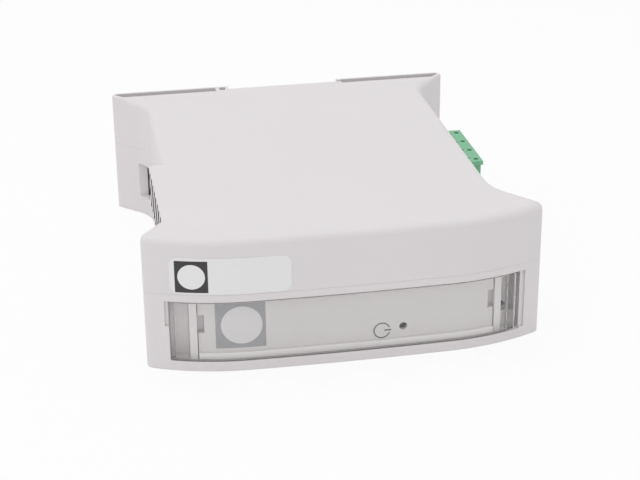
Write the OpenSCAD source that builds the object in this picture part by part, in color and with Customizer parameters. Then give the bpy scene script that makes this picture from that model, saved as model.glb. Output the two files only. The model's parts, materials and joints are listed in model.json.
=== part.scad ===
// Soft starter in a clip-on housing for a 35 mm mounting rail.
// It lies on its large side face: X runs along the housing's height on the rail,
// the front with the clear cover looks to -Y, the rail side to +Y, and Z is the width.
// The origin is the centre of the bounding box, on the lower side face.

/* [Housing] */
// Height of the housing on the rail, along X
housing_h = 99; // [97:1:102]
// Depth from the front of the bulge to the rear of the rail ears
housing_d = 112; // [110:1:116]
// Width of the base half, from the lower side face to the parting line
base_w = 20.4; // [20.2:0.1:20.7]
// Width of the hood half above the parting line
hood_w = 14.6; // [14:0.1:16]
// Width across the neck between the front head and the rail ears
neck_w = 80.6; // [80.4:0.1:81.2]
// Wall thickness of both halves
wall = 2; // [1.8:0.1:2.1]
// Radius of the soft edge round the hood's upper face
edge_r = 2; // [1.6:0.1:2.2]
// Radius of the nearly flat middle of the front
front_r = 800; // [600:10:1200]
// Half width of that nearly flat middle
front_flat = 25; // [23:1:27]
// Radius of the front's rounded ends
front_end_r = 58; // [56:1:62]
// Radius where the neck runs into the front head
head_fillet_r = 16; // [14:1:18]
// Angle of the head's shoulder away from the neck
head_angle = 38; // [36:1:42]
// Radius where the neck runs into the rail ears
ear_fillet_r = 12; // [10:1:13]
// Angle of the ear's shoulder away from the neck
ear_angle = 45; // [43:1:48]
// Length of the flat end of each ear, along Y
ear_side = 2.4; // [2.2:0.1:2.8]

/* [Rail seat] */
// Height of the mounting rail that the housing clips on
rail_h = 35; // [34.8:0.1:35.2]
// Thickness of the mounting rail's flange
rail_t = 1; // [0.9:0.1:1.2]
// Place of the rail's middle along X
rail_x = 2.4; // [2:0.1:2.8]
// Play of the rail and of other pieces that only rest against each other
play = 0.1; // [0.05:0.05:0.15]
// Overlap of the fixed hook over the rail
hook_lap = 2.3; // [2:0.1:2.5]
// Overlap of the latch nose over the rail
nose_lap = 1.2; // [1:0.1:1.3]
// Height of the ears behind the rail seat
ear_rise = 2.8; // [2.7:0.1:3.2]
// Step from the rail seat down to the floor edge of the troughs
trough_step = 1.2; // [1:0.1:1.4]
// Thickness of the thin wall behind each trough
rim_t = 1.1; // [0.9:0.1:1.2]
// Thickness of the wall that closes the right trough at the rail
hook_wall = 1.2; // [1:0.1:1.4]
// Length of the left ear's end block beside the rail
ear_block = 3.8; // [3.6:0.1:4.2]

/* [Rail latch] */
// Width of the sliding bar, along Z
latch_w = 9.8; // [9.4:0.1:10]
// Underside of the sliding bar above the side face
latch_z = 5.8; // [5.4:0.1:6]
// Thickness of the sliding bar, along Y
latch_t = 4.6; // [4.4:0.1:4.8]
// Distance from the rail seat to the bar's rear face
latch_gap = 6; // [5.6:0.1:6.2]
// Outer end of the bar, inside the ear's shoulder
latch_tail = 40.4; // [40.2:0.1:40.8]
// Thickness of the leg that carries the nose, along X
leg_t = 3.2; // [2.8:0.1:3.4]
// Travel of the latch that frees the rail
latch_travel = 2.5; // [2.2:0.1:2.7]
// Diameter of the spring's wire
spring_wire = 0.6; // [0.5:0.05:0.65]
// Outer diameter of the spring
spring_od = 3.6; // [3.4:0.1:3.7]
// Number of spring coils
spring_turns = 8; // [7:1:9]
// Length of the spring at rest
spring_l = 12.4; // [12:0.1:12.8]

/* [Front cover] */
// Left end of the window in the head
window_left = -44; // [-44.4:0.1:-43.8]
// Right end of the window in the head
window_right = 43.4; // [43:0.1:43.6]
// Lower edge of the window above the side face
window_z = 2.6; // [2.5:0.1:2.8]
// Height of the window
window_h = 15.9; // [15.6:0.1:16]
// Thickness of the clear cover
cover_t = 1.4; // [1.3:0.1:1.5]
// Gap round the clear cover
cover_gap = 0.3; // [0.25:0.05:0.35]
// Wider gap at the hinge end of the cover
cover_end_gap = 1.2; // [1.1:0.1:1.3]
// Radius of the cover's hinge pins
pin_r = 0.9; // [0.8:0.05:0.95]
// Running clearance of pins, screws and sliding pieces
run_gap = 0.05; // [0.03:0.01:0.08]
// Length of each hinge pin
pin_len = 1.4; // [1.2:0.1:1.5]
// Distance from the window's right end to the hinge axis
hinge_inset = 2.4; // [2.4:0.05:2.6]
// Depth of the hinge axis behind the front face
hinge_depth = 1.7; // [1.6:0.05:1.8]
// Left end of the front panel
panel_left = -37; // [-37.6:0.1:-36.6]
// Right end of the front panel
panel_right = 36.4; // [36:0.1:36.8]
// Thickness of the front panel
panel_t = 1.2; // [1:0.1:1.3]
// Gap between the clear cover and the front panel
panel_gap = 1; // [0.9:0.1:1.2]
// Height of the sill under the front panel, above the window's lower edge
sill_h = 1.7; // [1.5:0.1:1.8]
// Length of the number plate
plate_l = 29.6; // [28:0.1:30]
// Height of the number plate
plate_w = 9.4; // [9:0.1:9.6]
// Left end of the number plate
plate_left = -43.8; // [-44:0.1:-43]

/* [Vent] */
// How far the vented wall stands proud of the neck
vent_proud = 3.4; // [3.2:0.1:3.6]
// Front end of the vented wall, from the front of the bulge
vent_front = 11.5; // [11:0.5:12]
// Length of the vented wall along Y
vent_len = 40; // [38:0.5:42]
// Height of the vented wall below the hood's upper face
vent_h = 11.3; // [11:0.1:11.6]
// Thickness of the vented wall
vent_t = 1.6; // [1.4:0.1:1.8]
// Distance of the slots along Y
slot_pitch = 4.2; // [4:0.1:4.6]
// Width of each slot, across its length
slot_w = 1.5; // [1.3:0.1:1.7]
// Angle of the slots from upright
slot_angle = 45; // [42:1:48]

/* [Terminal plug] */
// Distance of the clamps
pole_pitch = 6.4; // [6.3:0.05:6.5]
// Distance of the small test holes
test_pitch = 7; // [6.8:0.1:7.1]
// Length of the plug along Y
plug_l = 25.1; // [25:0.1:25.4]
// Middle of the plug from the front of the bulge
plug_mid = 68.3; // [67:0.1:70]
// Upper face of the plug above the side face
plug_top = 27.5; // [27.3:0.1:27.7]
// Height of the plug body
plug_h = 14.5; // [14.3:0.1:14.7]
// Outer face of the plug body from the housing's middle
plug_out = 47.5; // [47.4:0.1:47.7]
// How far the lip stands out over the plug body
lip_out = 0.5; // [0.4:0.1:0.6]
// Thickness of the lip
lip_t = 1.1; // [0.9:0.1:1.3]
// Depth of the plug's nose in the header
nose_in = 8.4; // [8.2:0.1:8.6]
// Radius of the wire entries
wire_r = 1.25; // [1.1:0.05:1.25]
// Radius of the test holes in the plug's upper face
test_r = 0.7; // [0.6:0.05:0.75]
// Radius of the clamp screw's thread
screw_r = 1.2; // [1.1:0.05:1.25]
// Radius of the clamp screw's head
head_r = 1.55; // [1.5:0.05:1.6]
// Thread pitch of the clamp screw
screw_pitch = 0.45; // [0.43:0.01:0.46]
// Turns from the open to the closed clamp
clamp_turns = 5; // [4:1:5]

/* [Boards] */
// Thickness of both circuit boards
board_t = 1.6; // [1.5:0.05:1.65]
// Underside of the lower board above the side face
low_board_z = 4.2; // [4.1:0.1:4.4]
// Underside of the upper board above the side face
top_board_z = 12.9; // [12.8:0.05:13]
// Length of the upper board along X
top_board_l = 72; // [70:1:72]
// Distance from the front of the bulge to the upper board
board_front = 26; // [25:1:28]
// Gap between the upper board and the latch's channel
board_gap = 1.2; // [1:0.1:1.6]
// Length of the lower board along X
low_board_l = 56; // [54:1:58]
// Width of the lower board along Y
low_board_w = 26; // [24:1:27]
// Radius of the posts under the boards
post_r = 2.5; // [2.2:0.1:2.7]
// Radius of the pins on the posts
post_pin_r = 1.3; // [1.2:0.1:1.5]
// Radius of the indicator lamp
lamp_r = 1.5; // [1.4:0.05:1.5]
// Radius of the light pipe
pipe_r = 0.95; // [0.85:0.05:1]
// Place of the indicator lamp along X
lamp_x = 13.25; // [12:0.25:15]

/* [Hidden] */
$fn = 48;

fine = 0.01;             // overlap that keeps cut faces from coinciding
reach = 200;             // length of tools that cut right through
half_h = housing_h / 2;
half_neck = neck_w / 2;
front_y = -housing_d / 2;
rear_y = housing_d / 2;
total_w = base_w + hood_w;

// Front curve: a nearly flat middle arc and two end arcs, tangent to each other
flat_angle = asin(front_flat / front_r);
mid_c = [0, front_y + front_r];
end_c = [(front_r - front_end_r) * sin(flat_angle),
         mid_c[1] - (front_r - front_end_r) * cos(flat_angle)];
function front_at(x, t = 0) = end_c[1] - sqrt(pow(front_end_r - t, 2) - pow(abs(x) - end_c[0], 2));

// Tip of the head, where the end arc meets the shoulder
tip_r = edge_r + 0.4;
tip_c = [half_h - tip_r, front_at(half_h - tip_r, tip_r)];
tip_angle = asin((tip_c[0] - end_c[0]) / (front_end_r - tip_r));

// Shoulders of the head and of the ears: outward normals, fillet centres and fillet ends
head_n = [cos(head_angle), sin(head_angle)];
head_run = [-head_n[1], head_n[0]];
head_c = [half_neck + head_fillet_r,
          (head_n * tip_c + tip_r + head_fillet_r - head_n[0] * (half_neck + head_fillet_r)) / head_n[1]];
ear_n = [cos(ear_angle), -sin(ear_angle)];
ear_run = [sin(ear_angle), cos(ear_angle)];
ear_tip = [half_h, rear_y - ear_side];
ear_r = ear_side - 0.4;
ear_c = [half_neck + ear_fillet_r,
         (ear_n * ear_tip + ear_fillet_r - ear_n[0] * (half_neck + ear_fillet_r)) / ear_n[1]];
function head_end(t = 0) = head_c - (head_fillet_r + t) * head_n;
function ear_end(t = 0) = ear_c - (ear_fillet_r + t) * ear_n;

// Rail seat
seat_y = rear_y - ear_rise;
trough_y = seat_y - trough_step;
back_y = trough_y - wall;
gap_left = rail_x - rail_h / 2 - play;
gap_right = rail_x + rail_h / 2 - hook_lap;
slot_t = rail_t + 2 * play;

// Latch: bar, leg and nose
guide_side = 1.4;
bar_y = seat_y - latch_gap - latch_t;
bar_mid_y = bar_y + latch_t / 2;
bar_mid_z = latch_z + latch_w / 2;
leg_x = gap_left - 2 * play;
lug_t = 1.4;
lug_x = -35;
spring_z = bar_mid_z - spring_od / 2 - 0.5;
spring_room = [lug_x - 2 * play, lug_x + lug_t + spring_l];

// Lip of the hood inside the base
lip_h = 1.2;
lip_z = base_w - lip_h;

// Clear cover and front panel
cover_x = [window_left + cover_gap, window_right - cover_end_gap];
cover_z = [window_z + cover_gap, window_z + window_h - cover_gap];
hinge_x = window_right - hinge_inset;
hinge_y = front_at(hinge_x) + hinge_depth;
boss_r = pin_r + 1.5;
panel_in = cover_t + panel_gap;
panel_back = panel_in + panel_t + 0.3;
post_w = 1.8;
posts = [panel_left - 0.2 - post_w, panel_right + 0.2];
pocket_d = 5.6;
pocket_t = 1.2;
ledge_d = 4.1;
panel_z = window_z + sill_h;
panel_top = lip_z - play;
lamp_z = low_board_z + board_t + lamp_r;
lamp_y = front_y + 8.6;

// Boards
low_top = low_board_z + board_t;
board_top = top_board_z + board_t;
top_board_x = 1.5;
top_front = front_y + board_front;
top_rear = bar_y - guide_side - board_gap;
top_board_w = top_rear - top_front;
top_board_y = (top_front + top_rear) / 2;
low_front = front_y + 9;
low_board_y = low_front + low_board_w / 2;
link_y = (top_front + low_front + low_board_w) / 2;
post_in = 3;
top_posts = [for (sx = [-1, 1], sy = [-1, 1])
    [top_board_x + sx * (top_board_l / 2 - post_in), top_board_y + sy * (top_board_w / 2 - post_in)]];
low_posts = [for (sx = [-1, 1], sy = [-1, 1])
    [sx * (low_board_l / 2 - post_in), low_board_y + sy * (low_board_w / 2 - post_in)]];

// Plug, header and clamps
poles = 4;
plug_y = front_y + plug_mid;
function pole(i, pitch = pole_pitch) = plug_y + (i - (poles + 1) / 2) * pitch;
plug_z = plug_top - plug_h;
plug_x = half_neck + 0.2;
header_out = half_neck - 0.3;
header_back = 2.6;
header_wall = 1;
header_h = 11;
header_l = plug_l + 0.6;
header_in = header_out - nose_in - 0.5 - header_back;
slot_gap = 0.2;
cage_gap = 0.08;
cage = [4.2, 3.6, 6.4];
cage_skin = 1.2;
cage_side = 0.5;
cage_room_z = plug_z + 1.6;
cage_z = cage_room_z + play;
clamp_x = plug_out - 1.8 - cage_gap - cage[0] / 2;
clamp_travel = screw_pitch * clamp_turns;
room_top = cage_z + cage[2] + clamp_travel + 0.15;
contact_t = 0.8;
contact_w = 1.8;
contact_z = cage_z + cage[2] - cage_skin - play - contact_t;
pin_wire = 0.5;
pin_wire_z = contact_z - run_gap - pin_wire;
pin_wire_x = header_in - 1;
screw_tip_z = contact_z + contact_t + 2 * play;
screw_seat_z = room_top + 0.6;
screw_head_t = 1.5;
wire_z = contact_z - wire_r;

// Colours as the photograph shows them, and usual ones for what is inside
shell_grey = [0.89, 0.875, 0.88];
panel_grey = [0.86, 0.86, 0.86];
plug_green = [0.45, 0.72, 0.55];
metal = [0.75, 0.75, 0.74];

// Outlines

// Everything behind the front curve, moved in by t
module behind_front(t = 0) {
    intersection() {
        translate(mid_c) circle(r = front_r - t, $fn = 720);
        union() {
            for (s = [-1, 1]) translate([s * end_c[0], end_c[1]]) circle(r = front_end_r - t, $fn = 240);
            translate([-front_flat, front_y - 1]) square([2 * front_flat, housing_d]);
            translate([-housing_h, end_c[1]]) square([2 * housing_h, housing_d]);
        }
    }
}

// Air beside the right side of the neck, grown by t into the body. The fillets are a hair larger
// than tangent ones, so that each crosses its straight sides at a clear point
module side_cut(t = 0) {
    out = 30;
    h_out = head_end(t) - out * head_run;
    e_out = ear_end(t) + out * ear_run;
    polygon([
        [half_neck - t, head_c[1]], head_end(t), h_out,
        [h_out[0] + out, h_out[1]], [e_out[0] + out, e_out[1]],
        e_out, ear_end(t), [half_neck - t, ear_c[1]]
    ]);
    translate(head_c) circle(r = head_fillet_r + t + fine, $fn = 96);
    translate(ear_c) circle(r = ear_fillet_r + t + fine, $fn = 96);
}

// Corner outside the rounded tip of the head, on the right
module tip_cut() {
    a = [sin(tip_angle), -cos(tip_angle)];
    difference() {
        polygon([tip_c, tip_c + 8 * a, tip_c + 12 * (a + head_n), tip_c + 8 * head_n]);
        translate(tip_c) circle(r = tip_r);
    }
}

// Corner outside the rounded end of the right ear
module ear_cut(r) {
    translate([half_h - r, rear_y - r]) difference() {
        square(r + 1);
        circle(r = r);
    }
}

// Outline of the housing, moved in by t
module plan(t = 0) {
    difference() {
        intersection() {
            behind_front(t);
            translate([-half_h + t, front_y - 1]) square([housing_h - 2 * t, housing_d + 1 - t]);
        }
        for (m = [0, 1]) mirror([m, 0]) {
            side_cut(t);
            if (t == 0) {
                tip_cut();
                ear_cut(ear_r);
            }
        }
    }
}

// Room inside the walls, moved in further by t
module cavity(t = 0) {
    intersection() {
        plan(wall + t);
        translate([-reach / 2, front_y]) square([reach, back_y - t - front_y]);
    }
}

// Open troughs in the rail ears
module troughs() {
    intersection() {
        plan(rim_t);
        union() {
            translate([gap_right + hook_wall, trough_y]) square([half_h, reach]);
            translate([gap_left - ear_block - half_h, trough_y]) square([half_h, reach]);
        }
    }
}

// Gap for the rail, with the slot under the fixed hook
module rail_gap() {
    translate([gap_left, seat_y]) square([gap_right - gap_left, reach]);
    translate([gap_left, seat_y]) square([rail_h + 3 * play, slot_t]);
}

// Soft edge round the hood

// Points along an arc of the outline, each with its outward normal and its edge radius
function arc_rows(c, r, from, to, steps, side, soft) = [for (i = [0 : steps])
    let (a = from + (to - from) * i / steps, u = [cos(a), sin(a)]) [c + r * u, side * u, soft]];

// Right half of the outline, from the middle of the front to the rear ear
soft_ear = 0.4;
right_rows = concat(
    arc_rows(mid_c, front_r, -90, -90 + flat_angle, 2, 1, edge_r),
    arc_rows(end_c, front_end_r, -87 + flat_angle, -90 + tip_angle, 8, 1, edge_r),
    arc_rows(tip_c, tip_r, -85 + tip_angle, head_angle, 5, 1, edge_r),
    arc_rows(head_c, head_fillet_r, 180 + head_angle, 180, 6, -1, edge_r),
    arc_rows(ear_c, ear_fillet_r, 180, 180 - ear_angle, 6, -1, edge_r),
    [[ear_tip - 3 * ear_run, ear_n, soft_ear]],
    [[ear_tip, [cos(ear_angle / 2), -sin(ear_angle / 2)], soft_ear]],
    arc_rows([half_h - ear_r, rear_y - ear_r], ear_r, 0, 90, 4, 1, soft_ear)
);

// Outer skin of the hood, with the soft edge round its upper face. Each end is closed by strips
// from a point on the right to its mirror image on the left
module hood_skin() {
    steps = 4;
    right = len(right_rows);
    rows = concat(right_rows, [for (i = [1 : right - 1]) let (q = right_rows[right - i])
        [[-q[0][0], q[0][1]], [-q[1][0], q[1][1]], q[2]]]);
    n = len(rows);
    top = (steps + 1) * n;
    function skin_point(q, a) =
        let (p = q[0] - q[2] * (1 - cos(a)) * q[1]) [p[0], p[1], total_w - q[2] * (1 - sin(a))];
    points = concat(
        [for (q = rows) [q[0][0], q[0][1], base_w - 1]],
        [for (j = [0 : steps], q = rows) skin_point(q, 90 * j / steps)]
    );
    difference() {
        polyhedron(points, concat(
            [[0, 1, n - 1], [top, top + n - 1, top + 1]],
            [for (i = [1 : right - 2]) [i, i + 1, n - i - 1, n - i]],
            [for (i = [1 : right - 2]) [top + n - i, top + n - i - 1, top + i + 1, top + i]],
            [for (j = [0 : steps], i = [0 : n - 1])
                [j * n + i, (j + 1) * n + i, (j + 1) * n + (i + 1) % n]],
            [for (j = [0 : steps], i = [0 : n - 1])
                [j * n + i, (j + 1) * n + (i + 1) % n, j * n + (i + 1) % n]]
        ));
        translate([-reach / 2, -reach / 2, base_w - 5]) cube([reach, reach, 5]);
    }
}

// Vent

vent_x = -half_neck - vent_proud;
vent_y = front_y + vent_front;
vent_z = total_w - vent_h;

module vent_block() {
    translate([vent_x, vent_y, vent_z]) cube([vent_proud + wall, vent_len, vent_h]);
}

module vent_room() {
    translate([vent_x + vent_t, vent_y + vent_t, vent_z + vent_t])
        cube([vent_proud + wall, vent_len - 2 * vent_t, vent_h - vent_t - wall]);
}

module vent_slots() {
    rim = 0.7;
    low = vent_z + rim;
    high = total_w - rim;
    lean = (high - low) * tan(slot_angle) / 2;
    intersection() {
        translate([vent_x - 1, vent_y, low]) cube([vent_t + 1 + 2 * play, vent_len - rim, high - low]);
        for (y = [vent_y - lean : slot_pitch : vent_y + vent_len + lean])
            translate([vent_x, y, (low + high) / 2]) rotate([slot_angle, 0, 0])
                cube([4, slot_w, 3 * vent_h], center = true);
    }
}

// Pieces of the housing

// Post with a pin that holds a board
module post(p, z) {
    translate([p[0], p[1], wall - fine]) cylinder(r = post_r, h = z - wall + fine);
    translate([p[0], p[1], z - fine]) cylinder(r = post_pin_r, h = board_t + 0.8);
}

// Upright ribs beside the front panel, each with a flange behind the panel's notch
module panel_posts() {
    flange_w = 2.2;
    flange_t = 1.1;
    translate([0, 0, wall - fine]) linear_extrude(panel_top - wall + fine) {
        for (x = posts) front_shell(wall - fine, pocket_d + pocket_t, x, x + post_w);
        front_shell(panel_back, panel_back + flange_t, posts[0], posts[0] + post_w + flange_w);
        front_shell(panel_back, panel_back + flange_t, posts[1] - flange_w, posts[1] + post_w);
    }
}

// Pockets that close the window behind the ends of the clear cover. The one beside the hinge is
// shallower, with a deeper recess and a three-cornered hole through its back
module end_pockets() {
    recess = [3.1, 9.7];
    recess_z = window_z + 4.3;
    hole = [2.5, 3.6];
    translate([0, 0, wall - fine]) linear_extrude(panel_top - wall + fine) difference() {
        front_shell(wall - fine, pocket_d + pocket_t, window_left - pocket_t, posts[0] + fine);
        front_shell(-1, pocket_d, window_left, posts[0] + 1);
    }
    difference() {
        translate([0, 0, wall - fine]) linear_extrude(panel_top - wall + fine) difference() {
            front_shell(wall - fine, pocket_d + pocket_t, posts[1] + post_w - fine, window_right + pocket_t);
            front_shell(-1, ledge_d, posts[1], window_right);
        }
        translate([0, 0, recess_z]) linear_extrude(recess[1])
            front_shell(ledge_d - 1, pocket_d, posts[1] + post_w, posts[1] + post_w + recess[0]);
        translate([posts[1] + post_w + 0.2, front_y + 20, recess_z]) rotate([90, 0, 0])
            linear_extrude(20) polygon([[0, 0], [hole[0], 0.4], [0, hole[1]]]);
    }
}

// Channel for the latch's bar, open to the hood, with the lug that holds the spring
module latch_guide() {
    x0 = -half_neck + wall - fine;
    difference() {
        translate([x0, bar_y - guide_side, wall - fine])
            cube([leg_x - leg_t - latch_travel - 1 - x0, latch_t + 2 * guide_side, latch_z + latch_w - wall]);
        translate([x0 - 1, bar_y - run_gap, latch_z - run_gap]) cube([reach, latch_t + 2 * run_gap, reach]);
    }
    translate([lug_x, bar_y - run_gap - fine, spring_z + play])
        cube([lug_t, latch_t - 4 * play, spring_od + 0.5]);
}

// Way of the latch through the shoulder, the back wall and the left ear
module latch_ways() {
    z0 = latch_z - 2 * play;
    h = latch_w + 4 * play;
    x0 = leg_x - leg_t - latch_travel - 2 * play;
    translate([-reach, bar_y - 2 * play, z0])
        cube([reach - half_neck + wall + fine, latch_t + 4 * play, h]);
    translate([x0, back_y - fine, z0]) cube([leg_x + play - x0, seat_y - back_y + 2 * fine, h]);
    translate([x0, seat_y, z0]) cube([gap_left + 1 - x0, reach, h]);
}

module hinge_bosses() {
    intersection() {
        for (z = [[wall - fine, window_z], [window_z + window_h, base_w - play]])
            translate([hinge_x, hinge_y, z[0]]) cylinder(r = boss_r, h = z[1] - z[0]);
        translate([0, 0, -1]) linear_extrude(reach) behind_front(wall / 2);
    }
}

module hinge_bores() {
    translate([hinge_x, hinge_y, cover_z[0] - pin_len - play])
        cylinder(r = pin_r + run_gap, h = pin_len + play + fine + cover_gap);
    translate([hinge_x, hinge_y, window_z + window_h - fine])
        cylinder(r = pin_r + run_gap, h = pin_len - cover_gap + play + fine);
}

// Way of the header and plug through the neck wall, open in both halves
module plug_way() {
    translate([half_neck - 2 * wall, plug_y - header_l / 2 - slot_gap, board_top - slot_gap])
        cube([2 * wall + 1, header_l + 2 * slot_gap, header_h + 2 * slot_gap]);
}

// Window for the clear cover, cut only through the front wall
module window() {
    translate([0, 0, window_z]) linear_extrude(window_h) intersection() {
        difference() {
            behind_front(-1);
            behind_front(2.5 * wall);
        }
        translate([window_left, front_y - 1]) square([window_right - window_left, half_h]);
    }
}

module base_housing() {
    color(shell_grey) difference() {
        union() {
            difference() {
                linear_extrude(base_w) plan();
                translate([0, 0, wall]) linear_extrude(reach) cavity();
                translate([0, 0, wall]) linear_extrude(reach) troughs();
                window();
            }
            hinge_bosses();
            front_sill();
            latch_guide();
            panel_posts();
            end_pockets();
            for (p = low_posts) post(p, low_board_z);
            for (p = top_posts) post(p, top_board_z);
        }
        translate([0, 0, -1]) linear_extrude(reach) rail_gap();
        latch_ways();
        hinge_bores();
        plug_way();
        window_steps();
    }
}

// Sill under the front panel
module front_sill() {
    translate([0, 0, wall - fine]) linear_extrude(panel_z - wall + fine) intersection() {
        difference() {
            behind_front(cover_t + cover_gap);
            behind_front(panel_in + panel_t + 0.8);
        }
        translate([panel_left, front_y]) square([panel_right - panel_left, half_h]);
    }
}

// Shallow steps beside the window: a short one for a fingernail, and one along the hinge end
module window_steps() {
    step_d = 0.5;
    nail_w = 0.9;
    nail_h = 6.7;
    end_w = 1.3;
    translate([0, 0, window_z + window_h - nail_h]) linear_extrude(nail_h)
        front_shell(-1, step_d, window_left - nail_w, window_left + fine);
    translate([0, 0, window_z + cover_gap]) linear_extrude(window_h - cover_gap)
        front_shell(-1, step_d, window_right - fine, window_right + end_w);
}

// Lip of the hood: it hangs a little inside the base and joins the hood's wall above the parting line
module hood_lip() {
    translate([0, 0, lip_z]) linear_extrude(lip_h + 1) difference() {
        cavity(play);
        cavity(play + 1);
    }
    translate([0, 0, base_w + 0.3]) linear_extrude(0.5) difference() {
        cavity(-0.3);
        cavity(play + 0.5);
    }
}

module side_hood() {
    color(shell_grey) difference() {
        union() {
            difference() {
                union() {
                    hood_skin();
                    vent_block();
                }
                translate([0, 0, base_w - 1]) linear_extrude(hood_w - wall + 1) cavity();
            }
            hood_lip();
            latch_rib();
        }
        vent_room();
        vent_slots();
        plug_way();
        translate([hinge_x, hinge_y, lip_z - 1]) cylinder(r = boss_r + 2 * play, h = lip_h + 1);
        translate([0, 0, base_w - 1]) linear_extrude(reach) {
            troughs();
            rail_gap();
            ear_pocket();
        }
    }
}

// Rib that keeps the latch's bar down in its channel
module latch_rib() {
    z = latch_z + latch_w + run_gap;
    translate([spring_room[1] + 0.4, bar_y + 0.4, z]) cube([1.4, latch_t - 0.8, total_w - wall - z + fine]);
}

// Small pocket in the end block of the left ear
module ear_pocket() {
    translate([gap_left - 2.6, trough_y + 0.6]) square([1.6, rear_y - rim_t - trough_y - 0.6]);
}

// Pieces at the front

// Shell that follows the front curve between two depths and two places along X
module front_shell(t0, t1, x0, x1) {
    intersection() {
        difference() {
            behind_front(t0);
            behind_front(t1);
        }
        translate([x0, front_y - 1]) square([x1 - x0, half_h]);
    }
}

module window_cover() {
    rib_t = 1.2;
    color([0.85, 0.9, 0.92, 0.35]) union() {
        translate([0, 0, cover_z[0]]) linear_extrude(cover_z[1] - cover_z[0]) {
            front_shell(0, cover_t, cover_x[0], cover_x[1]);
            front_shell(cover_t - fine, 2 * cover_t, cover_x[0], cover_x[0] + rib_t);
            translate([hinge_x, hinge_y]) circle(r = pin_r + 0.5);
        }
        translate([hinge_x, hinge_y, cover_z[0] - pin_len])
            cylinder(r = pin_r, h = cover_z[1] - cover_z[0] + 2 * pin_len);
    }
}

module front_panel() {
    notch_w = 1.5;
    notch_h = 4.8;
    notch_z = panel_z + 5.2;
    color(panel_grey) difference() {
        translate([0, 0, panel_z]) linear_extrude(panel_top - panel_z)
            front_shell(panel_in, panel_in + panel_t, panel_left, panel_right);
        translate([lamp_x, front_y - 1, lamp_z]) rotate([-90, 0, 0]) cylinder(r = pipe_r + run_gap, h = half_h);
        for (x = [panel_left - fine, panel_right - notch_w])
            translate([x, front_y - 1, notch_z]) cube([notch_w + fine, half_h, notch_h]);
    }
}

module number_plate() {
    rise = 0.6;
    r = 1;
    w = plate_l - 2 * r;
    h = plate_w - 2 * r;
    color([0.93, 0.93, 0.92]) intersection() {
        translate([0, 0, base_w]) linear_extrude(hood_w)
            front_shell(-0.1, 0, plate_left - 1, plate_left + plate_l + 1);
        translate([plate_left + r, front_y + half_h, base_w + rise + r]) rotate([90, 0, 0])
            linear_extrude(reach) union() {
                translate([0, -r]) square([w, plate_w]);
                translate([-r, 0]) square([plate_l, h]);
                for (x = [0, w], y = [0, h]) translate([x, y]) circle(r = r);
            }
    }
}

module light_pipe() {
    y0 = front_at(lamp_x) + panel_in + 0.2;
    flange_y = front_at(lamp_x) + panel_in + panel_t + 4 * play;
    color([0.95, 0.95, 0.9, 0.6]) translate([lamp_x, 0, lamp_z]) rotate([-90, 0, 0]) {
        translate([0, 0, y0]) cylinder(r = pipe_r, h = lamp_y - 0.4 - y0);
        translate([0, 0, flange_y]) cylinder(r = pipe_r + 0.6, h = 0.8);
    }
}

module status_lamp() {
    dome = 1.2;
    color([0.2, 0.75, 0.3]) {
        translate([lamp_x, lamp_y + dome, lamp_z]) rotate([-90, 0, 0]) {
            cylinder(r = lamp_r, h = 3.4);
            sphere(r = lamp_r - 0.3);
            translate([0, 0, 2.6]) cylinder(r = lamp_r, h = 0.8);
        }
        translate([lamp_x - lamp_r, lamp_y + dome + 3.4 - fine, low_top]) cube([2 * lamp_r, 1.6, 2 * lamp_r]);
    }
}

// Latch and spring

module rail_latch() {
    color(shell_grey) difference() {
        union() {
            translate([-latch_tail, bar_y, latch_z]) cube([leg_x + latch_tail, latch_t, latch_w]);
            translate([leg_x - leg_t, bar_y, latch_z]) cube([leg_t, rear_y - 2 * play - bar_y, latch_w]);
            nose();
        }
        translate([spring_room[0], bar_y - 1, spring_z])
            cube([spring_room[1] - spring_room[0], latch_t + 2, latch_w]);
        translate([-latch_tail + 1, bar_mid_y - 0.8, latch_z - 1]) cube([1.6, 1.6, latch_w + 2]);
    }
}

// Nose that holds the rail, with a ramp at the rear
module nose() {
    y0 = seat_y + rail_t + play;
    y1 = rear_y - 2 * play;
    translate([0, 0, latch_z]) linear_extrude(latch_w) polygon([
        [leg_x - fine, y0], [gap_left + nose_lap, y0], [gap_left + nose_lap, y0 + 0.4],
        [gap_left - play, y1], [leg_x - fine, y1]
    ]);
}

// Coil spring along X, swept as one closed skin
module latch_spring() {
    sides = 6;
    turn_steps = 16;
    steps = spring_turns * turn_steps;
    r = (spring_od - spring_wire) / 2;
    wire = spring_wire / 2;
    run = spring_l - 2 * play - spring_wire;
    points = [for (k = [0 : steps], b = [0 : sides - 1])
        let (a = 360 * k / turn_steps, c = 360 * b / sides, q = r + wire * cos(c))
        [run * k / steps + wire * sin(c), q * cos(a), q * sin(a)]];
    color(metal) translate([lug_x + lug_t + play + wire, bar_mid_y, bar_mid_z]) polyhedron(points, concat(
        [[for (b = [0 : sides - 1]) sides - 1 - b], [for (b = [0 : sides - 1]) steps * sides + b]],
        [for (k = [0 : steps - 1], b = [0 : sides - 1])
            [k * sides + b, k * sides + (b + 1) % sides, (k + 1) * sides + (b + 1) % sides]],
        [for (k = [0 : steps - 1], b = [0 : sides - 1])
            [k * sides + b, (k + 1) * sides + (b + 1) % sides, (k + 1) * sides + b]]
    ));
}

// Boards

module power_board() {
    color([0.16, 0.42, 0.24]) difference() {
        translate([top_board_x - top_board_l / 2, top_board_y - top_board_w / 2, top_board_z])
            cube([top_board_l, top_board_w, board_t]);
        for (p = top_posts) board_hole(p, post_pin_r + play);
        for (i = [1 : poles]) board_hole([pin_wire_x, pole(i)], pin_wire + 0.3);
    }
}

module control_board() {
    color([0.16, 0.42, 0.24]) difference() {
        translate([-low_board_l / 2, low_board_y - low_board_w / 2, low_board_z])
            cube([low_board_l, low_board_w, board_t]);
        for (p = low_posts) board_hole(p, post_pin_r + play);
    }
}

module board_hole(p, r) {
    translate([p[0], p[1], -1]) cylinder(r = r, h = reach);
}

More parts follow.
